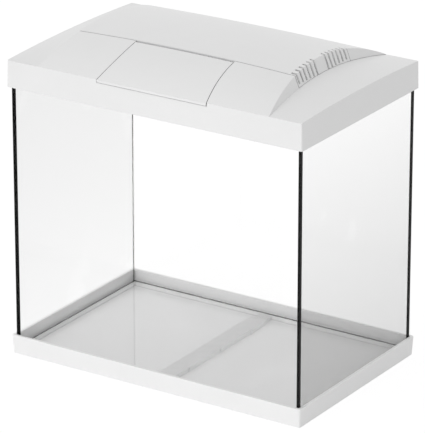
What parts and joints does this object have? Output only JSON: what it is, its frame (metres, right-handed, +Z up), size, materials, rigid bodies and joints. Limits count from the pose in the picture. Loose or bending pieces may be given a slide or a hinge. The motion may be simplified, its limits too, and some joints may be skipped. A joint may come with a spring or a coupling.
{
  "type": "aquarium",
  "caption": "Rimless glass aquarium on a white tray, with an arched white hood, hinged feeding flap, vent slots and hood lamp.",
  "frame": {"origin": "on the table under the middle of the tray", "axes": "+X along the front glass to the viewer's right, +Y from the front glass towards the back, +Z up"},
  "size_m": [0.4018, 0.2566, 0.4016],
  "materials": {
    "white_plastic": "satin",
    "glass": "polished",
    "silicone": "satin",
    "clear_silicone": "satin",
    "steel": "brushed",
    "black_plastic": "matte",
    "lens": "polished",
    "board": "satin",
    "led": "gloss"
  },
  "bodies": {
    "tank": {"base_tray": "white_plastic", "support_beam": "white_plastic", "bottom_pane": "glass", "front_pane": "glass", "back_pane": "glass", "left_pane": "glass", "right_pane": "glass", "bottom_seal": "silicone", "corner_seal_front_left": "silicone", "corner_seal_front_right": "silicone", "corner_seal_back_left": "clear_silicone", "corner_seal_back_right": "silicone"},
    "hood": {"hood_frame": "white_plastic", "rear_cover": "white_plastic", "cover_screws": "steel", "hinge_pins": "steel", "lamp_housing": "black_plastic", "lamp_lens": "lens", "lens_gasket": "silicone", "led_board": "board", "led_chips": "led", "lamp_screws": "steel", "cable_gland": "silicone"},
    "flap": {"feeding_flap": "white_plastic"}
  },
  "joints": [
    {"name": "hood_lift", "type": "slide", "parent": "tank", "child": "hood", "axis": [0, 0, 1], "range_m": [0, 0.3]},
    {"name": "flap_hinge", "type": "hinge", "parent": "hood", "child": "flap", "pos_m": [0, -0.0601, 0.39113], "axis": [-1, 0, 0], "range_deg": [0, 100]}
  ]
}
